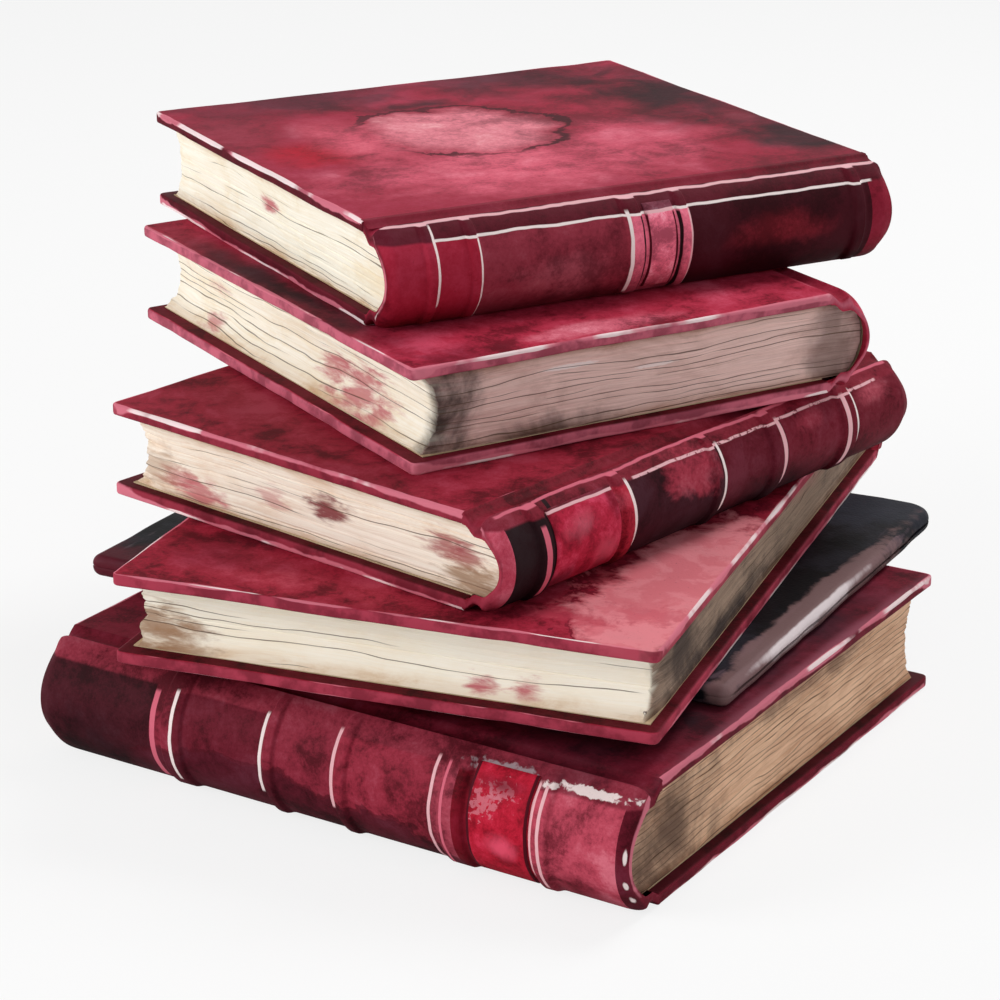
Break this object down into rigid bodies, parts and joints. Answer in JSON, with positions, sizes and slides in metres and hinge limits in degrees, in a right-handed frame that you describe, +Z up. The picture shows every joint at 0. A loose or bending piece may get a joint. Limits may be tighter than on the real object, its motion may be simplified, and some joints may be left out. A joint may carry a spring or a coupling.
{
  "type": "stack of books",
  "caption": "Turned pile of old leather-bound books with rounded, banded spines, cream and brown page edges and a thin limp book; the top cover opens.",
  "frame": {"origin": "centre of the bottom book's footprint, on the surface that the stack stands on", "axes": "+Z up through the stack; X along the bottom book's spine, which faces -Y, with its tail at +X"},
  "size_m": [0.3171, 0.365, 0.1978],
  "materials": {
    "burgundy_leather": "worn, mottled",
    "black_leather": "soft, worn",
    "label_leather": "smooth",
    "cream_pages": "uncoated, aged",
    "aged_pages": "uncoated, browned",
    "endpaper": "uncoated",
    "millboard": "rough",
    "lining_cloth": "glued linen",
    "hemp_cord": "twisted"
  },
  "bodies": {
    "stack": {"bottom_book_leather_cover": "burgundy_leather", "bottom_book_lower_board": "millboard", "bottom_book_lower_endpaper": "endpaper", "bottom_book_sewing_cords": "hemp_cord", "bottom_book_spine_lining": "lining_cloth", "bottom_book_text_block": "aged_pages", "bottom_book_title_label": "label_leather", "bottom_book_upper_board": "millboard", "bottom_book_upper_endpaper": "endpaper", "fourth_book_leather_cover": "burgundy_leather", "fourth_book_lower_board": "millboard", "fourth_book_lower_endpaper": "endpaper", "fourth_book_sewing_cords": "hemp_cord", "fourth_book_spine_lining": "lining_cloth", "fourth_book_text_block": "cream_pages", "fourth_book_upper_board": "millboard", "fourth_book_upper_endpaper": "endpaper", "limp_book_leather_cover": "black_leather", "limp_book_text_block": "cream_pages", "second_book_leather_cover": "burgundy_leather", "second_book_lower_board": "millboard", "second_book_lower_endpaper": "endpaper", "second_book_sewing_cords": "hemp_cord", "second_book_spine_lining": "lining_cloth", "second_book_text_block": "cream_pages", "second_book_upper_board": "millboard", "second_book_upper_endpaper": "endpaper", "third_book_leather_cover": "burgundy_leather", "third_book_lower_board": "millboard", "third_book_lower_endpaper": "endpaper", "third_book_sewing_cords": "hemp_cord", "third_book_spine_lining": "lining_cloth", "third_book_text_block": "cream_pages", "third_book_title_label": "label_leather", "third_book_upper_board": "millboard", "third_book_upper_endpaper": "endpaper", "top_book_leather_cover": "burgundy_leather", "top_book_lower_board": "millboard", "top_book_lower_endpaper": "endpaper", "top_book_sewing_cords": "hemp_cord", "top_book_spine_lining": "lining_cloth", "top_book_text_block": "cream_pages", "top_book_title_label": "label_leather", "top_book_upper_flyleaf": "endpaper"},
    "top_book_upper_cover": {"top_book_upper_cover_leather": "burgundy_leather", "top_book_upper_board": "millboard", "top_book_upper_pastedown": "endpaper"}
  },
  "joints": [
    {"name": "top_cover_hinge", "type": "hinge", "parent": "stack", "child": "top_book_upper_cover", "pos_m": [0.02293, 0.04368, 0.1978], "axis": [0.497, 0.8678, 0], "range_deg": [0, 180]}
  ]
}
